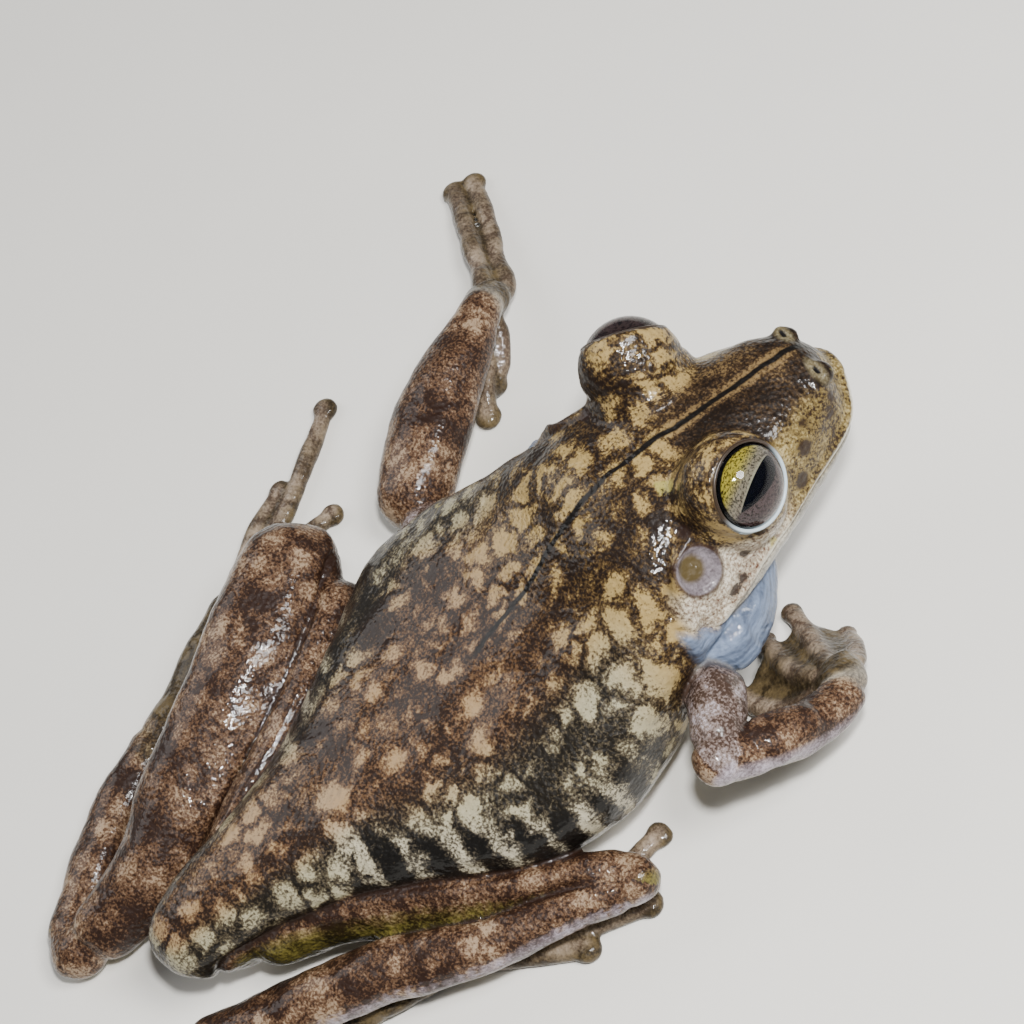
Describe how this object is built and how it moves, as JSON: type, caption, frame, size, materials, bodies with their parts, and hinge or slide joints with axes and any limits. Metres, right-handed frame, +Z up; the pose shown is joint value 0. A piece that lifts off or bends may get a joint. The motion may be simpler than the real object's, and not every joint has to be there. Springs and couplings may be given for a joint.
{
  "type": "tree frog model",
  "caption": "Life-size model of a gladiator tree frog lying at rest, mottled yellow-brown, eyes raised, throat sac half full and one arm stretched out to the side.",
  "frame": {"origin": "On the flat under the belly, a little behind the arms and on the body's midline.", "axes": "The frog faces -Y, its left side is +X, and +Z is up from the floor."},
  "size_m": [0.0783, 0.0841, 0.0275],
  "materials": {
    "back_skin": "moist skin, pale cells in a dark brown net",
    "jaw_skin": "moist pale skin",
    "sac_skin": "thin blue-grey skin with fine wrinkles",
    "limb_skin": "moist skin, rust brown and finely speckled",
    "digit_skin": "moist skin, olive brown",
    "drum_skin": "thin taut skin",
    "eye": "wet and glossy"
  },
  "bodies": {
    "root": {"head": "back_skin", "torso": "back_skin", "lower_jaw": "jaw_skin", "vocal_sac": "sac_skin", "upper_arm_left": "limb_skin", "upper_arm_right": "limb_skin", "forearm_left": "limb_skin", "forearm_right": "limb_skin", "thigh_left": "limb_skin", "thigh_right": "limb_skin", "shank_left": "limb_skin", "shank_right": "limb_skin", "tarsus_left": "limb_skin", "tarsus_right": "limb_skin", "hand_left": "digit_skin", "hand_right": "digit_skin", "foot_left": "digit_skin", "foot_right": "digit_skin", "tympanum_left": "drum_skin", "tympanum_right": "drum_skin", "eye_left": "eye", "eye_right": "eye"}
  },
  "joints": []
}
